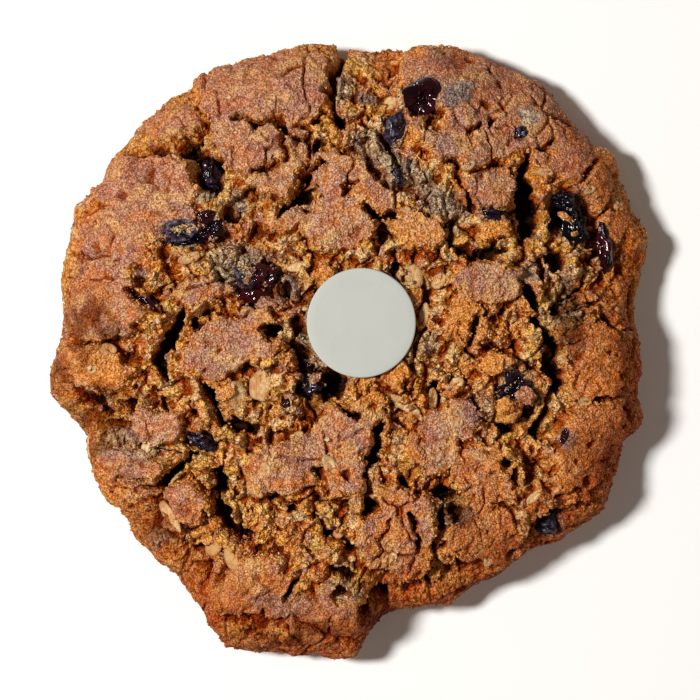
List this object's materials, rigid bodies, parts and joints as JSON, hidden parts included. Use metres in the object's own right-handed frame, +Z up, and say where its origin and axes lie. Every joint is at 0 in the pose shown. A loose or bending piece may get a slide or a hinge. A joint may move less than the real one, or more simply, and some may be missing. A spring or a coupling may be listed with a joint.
{
  "type": "oatmeal cookie",
  "caption": "Thick round oatmeal cookie with a cracked craggy crust, rolled-oat flakes, dark dried berries sunk in it and a plain round wafer lying on top.",
  "frame": {"origin": "on the flat base, in the middle of the cookie's length and width", "axes": "+Z up out of the base through the crown; +X to the right and +Y away as the picture looks down on it"},
  "size_m": [0.106, 0.1092, 0.0221],
  "materials": {
    "baked_dough": "dry, rough and sandy baked oat dough, browned at the rim",
    "wafer": "matt grey-white pressed wafer, bare",
    "berry_skin": "wrinkled glossy dark berry skin"
  },
  "bodies": {
    "root": {"cookie": "baked_dough", "wafer_disc": "wafer", "berry_01": "berry_skin", "berry_02": "berry_skin", "berry_03": "berry_skin", "berry_04": "berry_skin", "berry_05": "berry_skin", "berry_06": "berry_skin", "berry_07": "berry_skin", "berry_08": "berry_skin", "berry_09": "berry_skin", "berry_10": "berry_skin", "berry_11": "berry_skin", "berry_12": "berry_skin", "berry_13": "berry_skin", "berry_14": "berry_skin"}
  },
  "joints": []
}
